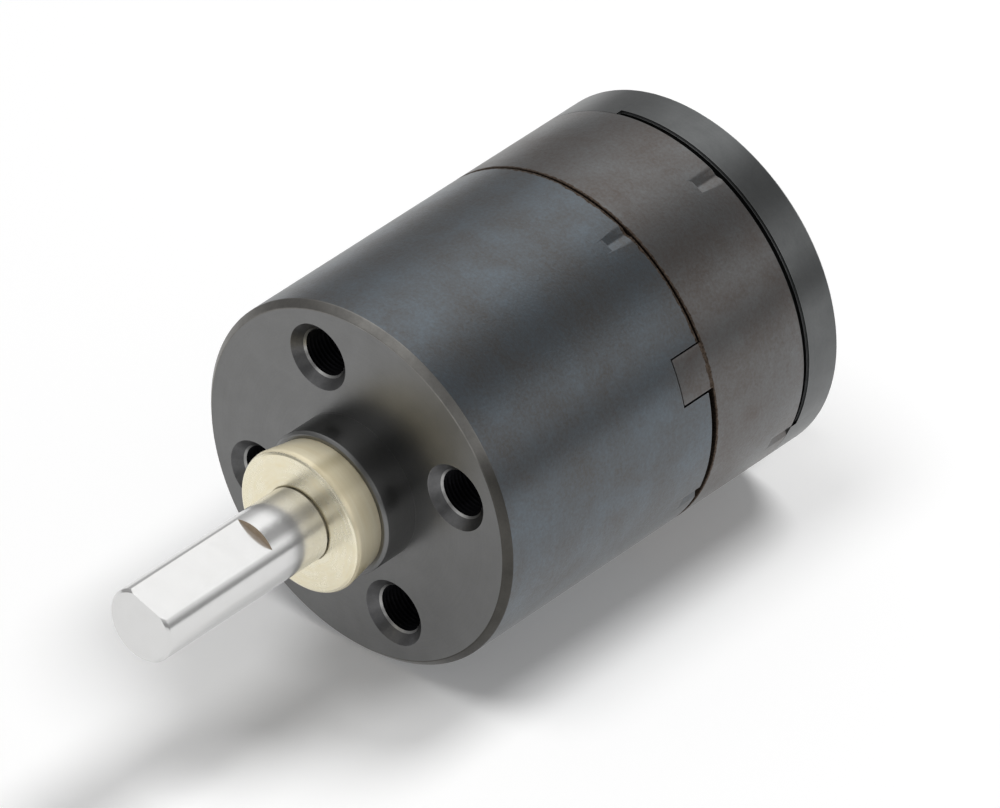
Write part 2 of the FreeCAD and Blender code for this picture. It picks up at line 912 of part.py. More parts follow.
def terminal_slot(gap):
    half = size("terminal_thickness") / 2 + gap
    wide = size("terminal_width") / 2 + gap

    def draw(sketch):
        rectangle(sketch, terminal_place - half, terminal_place + half, -wide, wide)

    return draw


def draw_post(sketch):
    rectangle(sketch, post_inside, post_inside + size("post_width"),
              brush_outside - size("post_cheek"), spring_outside + size("post_cheek"))


holder = new_body("brush_holder")
holder_hole = size("rear_bearing_width") / 2 + size("holder_space")
holder_radius = cap_inside - size("seat_gap")
turned(holder, "holder_disc", [
    (holder_hole, 0),
    (holder_radius, 0),
    (holder_radius, size("holder_thickness")),
    (holder_hole, size("holder_thickness")),
])
post = padded(holder, "holder_post", draw_post, holder_start - brush_start + 0.2, brush_start - holder_start)
around(holder, "holder_posts", post, 2)


def draw_spring_slot(sketch):
    rectangle(sketch, post_inside - 0.5, post_inside + size("post_width") / 2,
              brush_outside, spring_outside)


spring_slot = pocketed(holder, "spring_slot", draw_spring_slot, size("brush_length"),
                       brush_start - holder_start)
around(holder, "spring_slots", spring_slot, 2)
holder_slot = pocketed(holder, "terminal_slot", terminal_slot(size("seat_gap")), size("holder_thickness"))
around(holder, "terminal_slots", holder_slot, 2)
place(holder, holder_start, turn_size=size("cap_turn"))


def draw_spring(sketch):
    rectangle(sketch, -size("brush_width") / 2, post_inside + size("post_width") / 2,
              brush_outside, spring_outside)


springs = new_body("brush_springs")
spring = padded(springs, "brush_spring", draw_spring, size("brush_length"))
around(springs, "brush_spring_pair", spring, 2)
place(springs, brush_start, turn_size=size("cap_turn"))


def draw_brush(sketch):
    rectangle(sketch, -size("brush_width") / 2, size("brush_width") / 2, brush_inside, brush_outside)


brushes = new_body("brushes")
brush = padded(brushes, "brush", draw_brush, size("brush_length"))
around(brushes, "brush_pair", brush, 2)
place(brushes, brush_start, turn_size=size("cap_turn"))


# Rear cap, terminals and their sleeves

cap = new_body("rear_cap")
cap_spigot = can_inside - size("seat_gap")
pocket_radius = size("rear_bearing_width") / 2 + size("seat_gap")
pocket_end = rear_bearing_end - cap_start
cap_floor_here = cap_floor - cap_start
rear_boss_end = size("cap_length") + size("rear_boss_length")
rear_boss_radius = size("rear_boss_width") / 2
turned(cap, "cap_shell", [
    (cap_inside, -size("spigot_length")),
    (cap_spigot, -size("spigot_length")),
    (cap_spigot, 0),
    (case_radius, 0),
    (case_radius, size("cap_length") - size("cap_chamfer")),
    (case_radius - size("cap_chamfer"), size("cap_length")),
    (rear_boss_radius, size("cap_length")),
    (rear_boss_radius, rear_boss_end),
    (0, rear_boss_end),
    (0, pocket_end),
    (pocket_radius, pocket_end),
    (pocket_radius, cap_floor_here),
    (cap_inside, cap_floor_here),
])
groove = arc_cut(cap, "seam_groove", [
    (-0.5, case_radius - size("groove_depth")),
    (size("groove_width"), case_radius - size("groove_depth")),
    (size("groove_width"), case_radius + 0.5),
    (-0.5, case_radius + 0.5),
], size("groove_angle"))
around(cap, "seam_grooves", groove, 2)
sleeve_gap = size("sleeve_wall") + size("seat_gap") * 2
cap_slot = pocketed(cap, "cap_terminal_slot", terminal_slot(sleeve_gap), size("cap_wall") + 0.2,
                    cap_floor_here - 0.1)
around(cap, "cap_terminal_slots", cap_slot, 2)
place(cap, cap_start, turn_size=size("cap_turn"))

sleeves = new_body("terminal_sleeves")
sleeve_length = size("cap_wall") + size("sleeve_step")


def draw_sleeve(sketch):
    terminal_slot(size("sleeve_wall") + size("seat_gap"))(sketch)
    terminal_slot(size("seat_gap"))(sketch)


sleeve = padded(sleeves, "terminal_sleeve", draw_sleeve, sleeve_length)
around(sleeves, "terminal_sleeve_pair", sleeve, 2)
place(sleeves, cap_floor, turn_size=size("cap_turn"))

terminals = new_body("terminals")
terminal_start = holder_start - size("sleeve_step")
terminal_length = cap_end + size("terminal_reach") - terminal_start
terminal = padded(terminals, "terminal", terminal_slot(0), terminal_length)


def draw_eye(sketch):
    draw_circle(sketch, terminal_length - size("terminal_eye"), 0, size("terminal_eye") / 2)


eye_sketch = sketch_on(terminals, "terminal_eye_outline", "YZ_Plane",
                       terminal_place - size("terminal_thickness"))
draw_eye(eye_sketch)
eye = terminals.newObject("PartDesign::Pocket", "terminal_eye")
eye.Profile = eye_sketch
eye.Reversed = True
eye.Length = 2 * SIZES["terminal_thickness"]
eye.setExpression("Length", (size("terminal_thickness") * 2).text)
keep(terminals, eye)
pair = terminals.newObject("PartDesign::PolarPattern", "terminal_pair")
pair.Originals = [terminal, eye]
pair.Axis = (origin_item(terminals, "Y_Axis"), [""])
pair.Angle = 360
pair.Occurrences = 2
keep(terminals, pair)
place(terminals, terminal_start, turn_size=size("cap_turn"))


# Check every object, then write one file for each piece

doc.recompute()
for item in doc.Objects:
    if "Invalid" in item.State or "Error" in item.State:
        raise RuntimeError("%s: %s" % (item.Label, item.State))
os.makedirs("parts", exist_ok=True)
for piece in PIECES:
    shape = piece.Shape
    if shape.isNull() or not shape.isValid() or not shape.Solids:
        raise RuntimeError(piece.Label + " has no valid solid")
    shape.exportStep("parts/%s.step" % piece.Label)
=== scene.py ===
import math
import bpy
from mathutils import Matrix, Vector
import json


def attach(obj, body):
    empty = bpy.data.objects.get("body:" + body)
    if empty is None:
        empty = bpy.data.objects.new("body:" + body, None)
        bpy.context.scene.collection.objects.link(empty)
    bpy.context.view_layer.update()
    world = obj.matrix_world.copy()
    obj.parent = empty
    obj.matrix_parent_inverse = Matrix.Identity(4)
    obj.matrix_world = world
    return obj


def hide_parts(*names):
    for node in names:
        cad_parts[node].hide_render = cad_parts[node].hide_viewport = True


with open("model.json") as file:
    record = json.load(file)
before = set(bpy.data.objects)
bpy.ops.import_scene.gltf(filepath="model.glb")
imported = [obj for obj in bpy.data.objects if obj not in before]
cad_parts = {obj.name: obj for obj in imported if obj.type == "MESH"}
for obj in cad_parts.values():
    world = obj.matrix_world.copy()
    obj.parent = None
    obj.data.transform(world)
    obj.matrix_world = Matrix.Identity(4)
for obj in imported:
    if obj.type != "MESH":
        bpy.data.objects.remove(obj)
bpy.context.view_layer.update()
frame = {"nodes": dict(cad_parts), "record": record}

# %% [markdown]
# # A mini gear motor, dressed from its CAD frame
# The object is a 20 mm round gear motor: a blackened steel gear housing with four tapped holes,
# a brass bush, a ground steel shaft with a flat, and a short motor can behind it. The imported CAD
# model is the frame, so every new piece sits where the CAD piece sits. The axis of the motor is Y,
# the shaft points along -Y, and an angle on the case is measured from +Z towards +X.

# %% What the frame holds
MM = 0.001
MM_IN_METRE = 1000

# %% [markdown]
# ## Measures that several pieces share
# They are in millimetres and degrees. CASE is the radius of the case. SEAM is where the housing
# ends and CAN_END where the can does. PATTERN is the angle of the first tapped hole, and the tab
# and the marks are placed from it too.

# %% Shared measures
CASE = 10
SEAM = 15.3
CAN_END = 22.02
BOSS_FRONT = -2.1
PATTERN = 69.5
HOLE_CIRCLE = 7
HOLES = 4
print("Case:", 2 * CASE, "mm across, first hole at", PATTERN, "degrees")

# %% [markdown]
# ## Hand tools for turned parts
# Nearly every visible piece was turned on a lathe. A lathe shape could be spun from a drawn line,
# or built as rings that are extruded along the axis and resized. Rings keep the edges exactly
# round and parallel, so each piece starts as one circle and grows ring by ring. The operators act
# on all that is selected, so everything is deselected before a primitive is added.


# %% Pick a piece and its points
def start_fresh():
    """Leaves edit mode and deselects everything."""
    if bpy.context.object and bpy.context.object.mode == "EDIT":
        bpy.ops.object.mode_set(mode="OBJECT")
    bpy.ops.object.select_all(action="DESELECT")


def pick(piece):
    """Makes one piece the selected and active one."""
    start_fresh()
    piece.select_set(True)
    bpy.context.view_layer.objects.active = piece


def edit_all(piece):
    """Enters edit mode with every point selected."""
    pick(piece)
    bpy.ops.object.mode_set(mode="EDIT")
    bpy.ops.mesh.select_mode(type="VERT")
    bpy.ops.mesh.select_all(action="SELECT")


def select_points(piece, wanted):
    """Enters edit mode with only the points selected that the test picks, in mm."""
    edit_all(piece)
    bpy.ops.mesh.select_all(action="DESELECT")
    bpy.ops.object.mode_set(mode="OBJECT")
    for point in piece.data.vertices:
        point.select = wanted(point.co / MM)
    bpy.ops.object.mode_set(mode="EDIT")


def name_piece(piece, name):
    """Names the object and its mesh alike."""
    piece.name = name
    piece.data.name = name
    return piece


# %% [markdown]
# ## Turning and repeating
# A profile is a list of rings: each one is extruded from the last and resized to its radius. A
# closed profile gives a tube, and one that is capped at both ends gives a plug. What repeats round
# the axis is drawn once and copied. Without a window the rotate operator turns the other way, so
# an angle on the case goes in with a minus sign.


# %% Turn a profile, rotate it and repeat it
WELD = 2e-7


def swing(angle):
    """Rotates the selection about the motor's axis, in radians."""
    bpy.ops.transform.rotate(value=angle, orient_axis="Y", orient_type="GLOBAL",
                             center_override=(0, 0, 0))


def close_and_face_out(sides=None):
    """Welds the selected mesh, fills its holes if asked and points its normals outwards."""
    bpy.ops.mesh.select_all(action="SELECT")
    bpy.ops.mesh.remove_doubles(threshold=WELD)
    if sides is not None:
        bpy.ops.mesh.fill_holes(sides=sides)
    bpy.ops.mesh.normals_make_consistent(inside=False)
    bpy.ops.object.mode_set(mode="OBJECT")


def turned(name, profile, solid=False, facets=256):
    """A lathe shape from (radius, distance along the axis) in mm.

    The last ring is joined to the first, or both are capped if the piece is solid."""
    start_fresh()
    radius, along = profile[0]
    bpy.ops.mesh.primitive_circle_add(vertices=facets, radius=radius * MM,
                                      location=(0, along * MM, 0), rotation=(math.pi / 2, 0, 0))
    bpy.ops.object.transform_apply(location=True, rotation=True, scale=True)
    piece = name_piece(bpy.context.object, name)
    edit_all(piece)
    rings = profile if solid else profile + [profile[0]]
    for (radius, along), (next_radius, next_along) in zip(rings, rings[1:]):
        step = (next_along - along) * MM
        grow = next_radius / radius
        bpy.ops.mesh.extrude_region_move(TRANSFORM_OT_translate={"value": (0, step, 0)})
        bpy.ops.transform.resize(value=(grow, 1, grow), center_override=(0, next_along * MM, 0))
    close_and_face_out(sides=0 if solid else None)
    return piece


def turn_about_axis(piece, degrees):
    """Turns the whole mesh from +Z towards +X."""
    edit_all(piece)
    swing(-math.radians(degrees))
    bpy.ops.object.mode_set(mode="OBJECT")


def repeat_about_axis(piece, count):
    """Copies the mesh round the axis, count times in all."""
    edit_all(piece)
    for _ in range(count - 1):
        bpy.ops.mesh.duplicate()
        swing(2 * math.pi / count)
    bpy.ops.object.mode_set(mode="OBJECT")


# %% [markdown]
# ## Cutting, softening and smoothing
# Pieces are cut and joined with the exact boolean, which keeps clean edges. No real edge is quite
# sharp, so a small bevel rounds each one. It comes before the cuts where it can, because a bevel
# next to a cut would be squeezed. At the end the sides are shaded smooth, and the flat faces are
# marked sharp at their rims so that they stay flat.


# %% Combine, soften and finish a piece
def combine(piece, tool, operation="DIFFERENCE"):
    """Cuts the tool out of the piece, or joins it on, and removes the tool."""
    pick(piece)
    bpy.ops.object.modifier_add(type="BOOLEAN")
    change = piece.modifiers[-1]
    change.operation = operation
    change.solver = "EXACT"
    change.object = tool
    bpy.ops.object.modifier_apply(modifier=change.name)
    bpy.data.objects.remove(tool, do_unlink=True)


def soften(piece, width, degrees=28, segments=4):
    """Rounds every edge that is sharper than the angle."""
    pick(piece)
    bpy.ops.object.modifier_add(type="BEVEL")
    edge = piece.modifiers[-1]
    edge.width = width * MM
    edge.segments = segments
    edge.limit_method = "ANGLE"
    edge.angle_limit = math.radians(degrees)
    edge.use_clamp_overlap = True
    bpy.ops.object.modifier_apply(modifier=edge.name)


def finish_surface(piece, degrees=27):
    """Smooth sides, and flat faces that stay flat up to their rims."""
    edit_all(piece)
    bpy.ops.mesh.remove_doubles(threshold=WELD)
    bpy.ops.object.mode_set(mode="OBJECT")
    bpy.ops.object.shade_smooth_by_angle(angle=math.radians(degrees))
    edit_all(piece)
    bpy.ops.mesh.select_mode(type="FACE")
    bpy.ops.mesh.select_all(action="DESELECT")
    bpy.ops.object.mode_set(mode="OBJECT")
    for face in piece.data.polygons:
        face.select = abs(face.normal.y) > 0.9999
    bpy.ops.object.mode_set(mode="EDIT")
    bpy.ops.mesh.region_to_loop()
    bpy.ops.mesh.mark_sharp()
    bpy.ops.object.mode_set(mode="OBJECT")
    bpy.ops.object.modifier_add(type="WEIGHTED_NORMAL")
    piece.modifiers[-1].keep_sharp = True
    bpy.ops.object.modifier_apply(modifier=piece.modifiers[-1].name)
    print(piece.name, "triangles", sum(len(face.vertices) - 2 for face in piece.data.polygons))


# %% [markdown]
# ## Cutter blocks
# Marks, slots and the shaft's flat are cut with blocks. A block could be built point by point, but
# a cube that is moved and scaled between two corners is exact. Pinching one end makes a wedge.


# %% Blocks for cutters
def block(name, low, high):
    """A box between two corners in mm, the start of a cutter."""
    start_fresh()
    middle = [(a + b) / 2 * MM for a, b in zip(low, high)]
    bpy.ops.mesh.primitive_cube_add(size=1, location=middle)
    piece = name_piece(bpy.context.object, name)
    piece.scale = [(b - a) * MM for a, b in zip(low, high)]
    bpy.ops.object.transform_apply(location=True, rotation=True, scale=True)
    return piece


def pinch(piece, wanted, factor):
    """Resizes across X the points that the test picks."""
    select_points(piece, wanted)
    bpy.ops.transform.resize(value=(factor, 1, 1), center_override=(0, 0, 0))
    bpy.ops.object.mode_set(mode="OBJECT")


# %% [markdown]
# ## Sectors of a ring
# The locking tab, its notch, the pry gap and the grooves in the seams all cover only part of the
# circle. Such a sector could be cut out of a full ring, but spinning one small rectangle about
# the axis gives it true arcs at once. The steps are about one degree, finer than the case's facets.


# %% Spin a sector
def sector(name, inner, outer, start, end, first_angle, last_angle):
    """A ring sector in mm and degrees."""
    start_fresh()
    bpy.ops.mesh.primitive_plane_add(size=1, rotation=(0, math.pi / 2, 0))
    piece = name_piece(bpy.context.object, name)
    bpy.ops.object.transform_apply(rotation=True)
    edit_all(piece)
    bpy.ops.transform.resize(value=(1, (end - start) * MM, (outer - inner) * MM),
                             center_override=(0, 0, 0))
    bpy.ops.transform.translate(value=(0, (start + end) / 2 * MM, (inner + outer) / 2 * MM))
    swing(-math.radians(first_angle))
    sweep = last_angle - first_angle
    bpy.ops.mesh.spin(steps=max(4, round(sweep / 1.2)), angle=-math.radians(sweep),
                      center=(0, 0, 0), axis=(0, 1, 0))
    close_and_face_out(sides=4)
    return piece


# %% [markdown]
# ## Gear housing
# The housing is one turned steel sleeve with a thick front wall, a short chamfered boss and a bore
# for the ring gear. Sleeve and boss could be one profile, but then the bevel would round the
# corner between them too. So each is turned and softened by itself and then joined, and the corner
# stays sharp, as the lathe tool leaves it. The sleeve has a spare ring near its rear end, so that
# the marks cut there later don't disturb the long side.

# %% Turn the housing
BORE = 2.82
BOSS = 3.94
housing = turned("gear_housing", [
    (BORE, 0), (9.65, 0), (CASE, 0.35), (CASE, 13.16), (CASE, SEAM), (8.6, SEAM), (8.6, 5),
    (BORE, 5)])
soften(housing, 0.05)
boss = turned("front_boss", [
    (BORE, BOSS_FRONT), (3.80, BOSS_FRONT), (BOSS, -1.96), (BOSS, 0.5), (BORE, 0.5)])
soften(boss, 0.05)
combine(housing, boss, "UNION")
print("Housing with its boss:", len(housing.data.polygons), "faces")

# %% [markdown]
# ## Tapped holes
# Four M3 holes sit on a 14 mm circle. A real thread is a helix, which at this size reads as fine
# rings inside the bore. The cutter is a turned plug: a countersink, a run of thread crests and
# the cone of the drill. One plug is moved to its place and copied round the axis.

# %% Cut the four holes
PITCH = 0.25
THREADS = 12
THREAD_INNER, THREAD_OUTER = 1.27, 1.46
DRILL_END = 4.3
plug_profile = [(2.325, -0.5), (1.375, 0.45)]
for turn in range(THREADS):
    plug_profile += [(THREAD_INNER, 0.55 + PITCH * turn), (THREAD_OUTER, 0.675 + PITCH * turn)]
plug_profile += [(THREAD_INNER, 3.6), (0.05, DRILL_END)]
plugs = turned("thread_plug", plug_profile, solid=True, facets=72)
edit_all(plugs)
bpy.ops.transform.translate(value=(0, 0, HOLE_CIRCLE * MM))
bpy.ops.object.mode_set(mode="OBJECT")
repeat_about_axis(plugs, HOLES)
turn_about_axis(plugs, PATTERN)
combine(housing, plugs)
print("Housing with its holes:", len(housing.data.polygons), "faces")

# %% [markdown]
# ## Tab notch, pry gap and stake marks
# The can's tab locks into a notch in the housing, and next to it a shallow gap lets the two parts
# be pried open. The rims are locked by small V marks, struck with a chisel point. Marks could be
# bumps in the finish, but real cuts catch the light. A mark is cut with a wedge: a block whose
# lower end is pinched to a line.


# %% Cut the notch, the gap and the marks
NOTCH_HALF = 7.7
PRY_SWEEP = 65
STAKE_FLOOR = 9.86
OUTSIDE = 10.5


def stake_wedges(end):
    """Four wedges for the marks at a rim, halfway between the tapped holes."""
    wedge = block("stake_wedge", (-1.7, end - 1.5, STAKE_FLOOR), (1.7, end + 0.5, OUTSIDE))
    pinch(wedge, lambda place: place.z < CASE, 0.04)
    repeat_about_axis(wedge, HOLES)
    turn_about_axis(wedge, PATTERN + 45)
    return wedge


combine(housing, sector("notch", 8.1, OUTSIDE, 13.24, 15.8, PATTERN - NOTCH_HALF,
                        PATTERN + NOTCH_HALF))
combine(housing, sector("pry_gap", 8.1, OUTSIDE, 15.05, 15.8, PATTERN, PATTERN + PRY_SWEEP))
combine(housing, stake_wedges(SEAM))
finish_surface(housing)

# %% [markdown]
# ## Motor can
# The can is a plain steel ring that carries the magnets. Its spigot goes into the housing and its
# tab fills the notch with a hair of play all round. The tab is spun as a sector and joined to the
# turned ring, so that can and tab are one piece, as on the real one. A spare ring keeps the marks
# at the rear rim apart from the rest of the side, as on the housing.

# %% Turn the can and add its tab
TAB_HALF = 7.2
can = turned("motor_can_shell", [
    (8.1, 14.5), (8.58, 14.5), (8.58, 15.42), (CASE, 15.42), (CASE, 20.3), (CASE, CAN_END),
    (8.1, CAN_END)])
soften(can, 0.04)
tab = sector("lock_tab", 8.6, 9.992, 13.32, 15.5, PATTERN - TAB_HALF, PATTERN + TAB_HALF)
soften(tab, 0.05)
combine(can, tab, "UNION")
combine(can, stake_wedges(CAN_END))
finish_surface(can)

# %% [markdown]
# ## Rear cap
# The cap closes the motor and holds the rear bearing in a shallow boss. Two grooves run round its
# seam with the can, each with a narrow lip, and CAP_TURN is the angle of the first one's middle.
# The profile starts in the bearing pocket and comes back round the outside, and its two ends on
# the axis are capped. Two slots are meant for the terminals, but they are cut a quarter turn away
# from them: the CAD's terminals stand at CAP_TURN - 90. The short edges of the grooves squeeze
# the bevel at the end almost to nothing.

# %% Turn the cap and cut its grooves and slots
CAP_TURN = 49.3
GROOVE_SWEEP = 127.4
cap = turned("rear_cap_shell", [
    (0.02, 24.9), (2.32, 24.9), (2.32, 23.5), (7.3, 23.5), (7.3, 21.22), (8.08, 21.22),
    (8.08, CAN_END), (CASE, CAN_END), (CASE, 24.5), (9.8, 24.7), (3, 24.7), (3, 25.2),
    (0.02, 25.2)],
    solid=True)
for turn in (0, 180):
    low = CAP_TURN - GROOVE_SWEEP / 2 + turn
    for name, floor_radius, end in (("seam_groove", 9.5, 22.32), ("groove_lip", 9.9, 22.42)):
        combine(cap, sector(name, floor_radius, OUTSIDE, 21.5, end, low, low + GROOVE_SWEEP))
slots = block("terminal_slots", (-1.39, 23.3, 5.21), (1.39, 24.9, 6.39))
repeat_about_axis(slots, 2)
turn_about_axis(slots, CAP_TURN)
combine(cap, slots)
soften(cap, 0.07, degrees=35)
finish_surface(cap)

# %% [markdown]
# ## Brass bush
# The bush stands in the boss and carries the shaft. Its head tapers a little towards the case and
# its sleeve fills the bore. It is turned in one go and gets a soft edge, as brass does when it is
# faced off.

# %% Turn the bush
bush = turned("brass_bush", [
    (2.025, -4.15), (3.70, -4.15), (3.82, -4.09), (3.88, -3.98), (3.9, -3.84),
    (3.6, BOSS_FRONT), (2.8, BOSS_FRONT), (2.8, 5), (1.83, 5), (1.83, -3.95)])
soften(bush, 0.02, segments=2)
finish_surface(bush)

# %% [markdown]
# ## Output shaft
# The shaft is a ground rod with a D end: a flat, 3.6 mm across, that ends in a steep little wall
# where the grinding wheel stopped. A D could be drawn and extruded, but the round rod is turned
# first, with spare rings round the wall, and then ground, as the real one is. The flat's cutter is
# a block whose rear end leans back a little, so that the wall is steep but not square.

# %% Turn the shaft and grind its flat
ROD = 2
FLAT_HEIGHT = 1.6
FLAT_END = -7.78
WALL_LEAN = 0.16
FLAT_TURN = 18
shaft = turned("ground_shaft", [
    (1.85, -15.5), (ROD, -15.35), (ROD, -8.3), (ROD, -7.3), (ROD, -4.25), (1.8, -4.25),
    (1.8, 5.4), (1.6, 5.4), (1.6, 6.9)], solid=True)
soften(shaft, 0.035)
grinder = block("flat_grinder", (-3, -17, FLAT_HEIGHT), (3, FLAT_END, 3.6))
select_points(grinder, lambda place: place.y > -10 and place.z > 3)
bpy.ops.transform.translate(value=(0, WALL_LEAN * MM, 0))
bpy.ops.object.mode_set(mode="OBJECT")
turn_about_axis(grinder, FLAT_TURN)
combine(shaft, grinder)
finish_surface(shaft)

# %% [markdown]
# ## Node groups for machined surfaces
# Several finishes share the same effects, so each effect is one node group that puts out a mask.
# Turning marks are fine lines round the axis, on a face as well as on a side, so their noise is
# stretched along the radius and the length. Blotches are the uneven tone of blackened or handled
# metal. Worn edges show where the finish has rubbed thin. All of them read Object coordinates,
# which hold because every piece sits at the origin. A few helpers add a node, a group or a sum.


# %% Helpers for node trees
def add(tree, kind, values=None, **settings):
    """A new node, with settings of its own and values for its sockets."""
    node = tree.nodes.new(kind)
    for key, value in settings.items():
        setattr(node, key, value)
    for key, value in (values or {}).items():
        node.inputs[key].default_value = value
    return node


def grey(value):
    """One value for red, green and blue, and an alpha of 1."""
    return (value, value, value, 1)


def object_place(tree):
    """The place on the object, which stays the same when the piece turns."""
    return add(tree, "ShaderNodeTexCoord").outputs["Object"]


def split_place(tree):
    """The same place as X, Y and Z."""
    split = add(tree, "ShaderNodeSeparateXYZ")
    tree.links.new(object_place(tree), split.inputs[0])
    return split.outputs


def new_group(name, inputs, outputs):
    """An empty node group with number sockets, and its input and output nodes."""
    group = bpy.data.node_groups.new(name, "ShaderNodeTree")
    for label, value in inputs:
        socket = group.interface.new_socket(name=label, in_out="INPUT",
                                            socket_type="NodeSocketFloat")
        socket.default_value = value
    for label in outputs:
        group.interface.new_socket(name=label, in_out="OUTPUT", socket_type="NodeSocketFloat")
    return group, add(group, "NodeGroupInput"), add(group, "NodeGroupOutput")


def maths(tree, operation, first, second=None, clamp=False):
    """A sum of sockets or numbers, as an output socket."""
    node = add(tree, "ShaderNodeMath", operation=operation, use_clamp=clamp)
    for place, value in enumerate((first, second)):
        if value is None:
            continue
        if isinstance(value, (int, float)):
            node.inputs[place].default_value = value
        else:
            tree.links.new(value, node.inputs[place])
    return node.outputs[0]


# %% [markdown]
# ## Marks of the lathe
# A lathe leaves rings that are nearly, but not quite, even. Noise over the radius and the length
# gives rings on a face and on a side alike, and a little of the direction round the axis makes
# them waver.

# %% Turning marks
turning, turning_in, turning_out = new_group(
    "turning_marks", [("Lines per mm", 12), ("Waver", 1.5)], ["Mark"])
split = split_place(turning)
square_x = maths(turning, "MULTIPLY", split["X"], split["X"])
square_z = maths(turning, "MULTIPLY", split["Z"], split["Z"])
radius = maths(turning, "SQRT", maths(turning, "ADD", square_x, square_z))
safe = maths(turning, "MAXIMUM", radius, 1e-5)
per_metre = maths(turning, "MULTIPLY", turning_in.outputs["Lines per mm"], MM_IN_METRE)
across = add(turning, "ShaderNodeCombineXYZ")
turning.links.new(maths(turning, "MULTIPLY", radius, per_metre), across.inputs["X"])
turning.links.new(maths(turning, "MULTIPLY", split["Y"], per_metre), across.inputs["Y"])
turning.links.new(maths(turning, "MULTIPLY", maths(turning, "DIVIDE", split["X"], safe),
                        turning_in.outputs["Waver"]), across.inputs["Z"])
lines = add(turning, "ShaderNodeTexNoise", {"Scale": 1, "Detail": 2.5}, noise_dimensions="4D")
turning.links.new(across.outputs[0], lines.inputs["Vector"])
turning.links.new(maths(turning, "MULTIPLY", maths(turning, "DIVIDE", split["Z"], safe),
                        turning_in.outputs["Waver"]), lines.inputs["W"])
turning.links.new(lines.outputs["Fac"], turning_out.inputs["Mark"])

# %% [markdown]
# ## Uneven tone and grain
# Black oxide comes out in clouds, so soft noise shifts the tone over several millimetres. Under a
# lens the surface is also grainy, so a second, much finer noise gives specks.

# %% Blotches
blotch, blotch_in, blotch_out = new_group(
    "blotches", [("Spots per mm", 0.5), ("Contrast", 2)], ["Tone"])
cloud = add(blotch, "ShaderNodeTexNoise", {"Detail": 6, "Roughness": 0.62, "Distortion": 0.4})
blotch.links.new(object_place(blotch), cloud.inputs["Vector"])
blotch.links.new(maths(blotch, "MULTIPLY", blotch_in.outputs["Spots per mm"], MM_IN_METRE),
                 cloud.inputs["Scale"])
centred = maths(blotch, "SUBTRACT", cloud.outputs["Fac"], 0.5)
spread = maths(blotch, "MULTIPLY", centred, blotch_in.outputs["Contrast"])
blotch.links.new(maths(blotch, "ADD", spread, 0.5, clamp=True), blotch_out.inputs["Tone"])

# %% Fine grain
grain, grain_in, grain_out = new_group("fine_grain", [("Grains per mm", 9)], ["Grain"])
specks = add(grain, "ShaderNodeTexNoise", {"Detail": 3, "Roughness": 0.7})
grain.links.new(object_place(grain), specks.inputs["Vector"])
grain.links.new(maths(grain, "MULTIPLY", grain_in.outputs["Grains per mm"], MM_IN_METRE),
                specks.inputs["Scale"])
sharper = maths(grain, "MULTIPLY", maths(grain, "SUBTRACT", specks.outputs["Fac"], 0.5), 2.5)
grain.links.new(maths(grain, "ADD", sharper, 0.5, clamp=True), grain_out.inputs["Grain"])

# %% [markdown]
# ## Rubbed edges and old oil
# Where a rounded normal differs from the true one there is an edge, and a noise chips it. A seam
# collects oil and rust: the stain is a line at one place along the axis with a ragged width. The
# noise is about a half, so twice the noise gives the width on average.

# %% Worn edges
worn, worn_in, worn_out = new_group(
    "worn_edges", [("Width mm", 0.08), ("Strength", 4)], ["Edge"])
rounded = add(worn, "ShaderNodeBevel", samples=6)
worn.links.new(maths(worn, "MULTIPLY", worn_in.outputs["Width mm"], MM), rounded.inputs["Radius"])
straight = add(worn, "ShaderNodeNewGeometry")
match = add(worn, "ShaderNodeVectorMath", operation="DOT_PRODUCT")
worn.links.new(rounded.outputs["Normal"], match.inputs[0])
worn.links.new(straight.outputs["Normal"], match.inputs[1])
turned_away = maths(worn, "SUBTRACT", 1, match.outputs["Value"])
chips = add(worn, "ShaderNodeTexNoise", {"Scale": 2200, "Detail": 4})
worn.links.new(object_place(worn), chips.inputs["Vector"])
ragged = maths(worn, "MULTIPLY", turned_away, chips.outputs["Fac"])
worn.links.new(maths(worn, "MULTIPLY", ragged, worn_in.outputs["Strength"], clamp=True),
               worn_out.inputs["Edge"])

# %% Stain along a seam
SOFT_EDGE = 0.04
stain, stain_in, stain_out = new_group(
    "seam_stain", [("Place mm", 15.36), ("Width mm", 0.1)], ["Stain"])
along = maths(stain, "MULTIPLY", split_place(stain)["Y"], MM_IN_METRE)
away = maths(stain, "ABSOLUTE", maths(stain, "SUBTRACT", along, stain_in.outputs["Place mm"]))
rag = add(stain, "ShaderNodeTexNoise", {"Scale": 2600, "Detail": 5, "Roughness": 0.7})
stain.links.new(object_place(stain), rag.inputs["Vector"])
uneven = maths(stain, "MULTIPLY", rag.outputs["Fac"], stain_in.outputs["Width mm"])
reach = maths(stain, "MULTIPLY", uneven, 2)
inside = maths(stain, "DIVIDE", maths(stain, "SUBTRACT", reach, away), SOFT_EDGE, clamp=True)
stain.links.new(inside, stain_out.inputs["Stain"])
print("Node groups:", [group.name for group in bpy.data.node_groups])

# %% [markdown]
# ## One bench for every finish
# A finish is two tones of one colour, a roughness that changes with the tone, and a bump from the
# marks. Writing that out for each material would repeat the same links, so one function lays them
# and each finish gives its own values. The tones are mixed by the blotches and the marks.


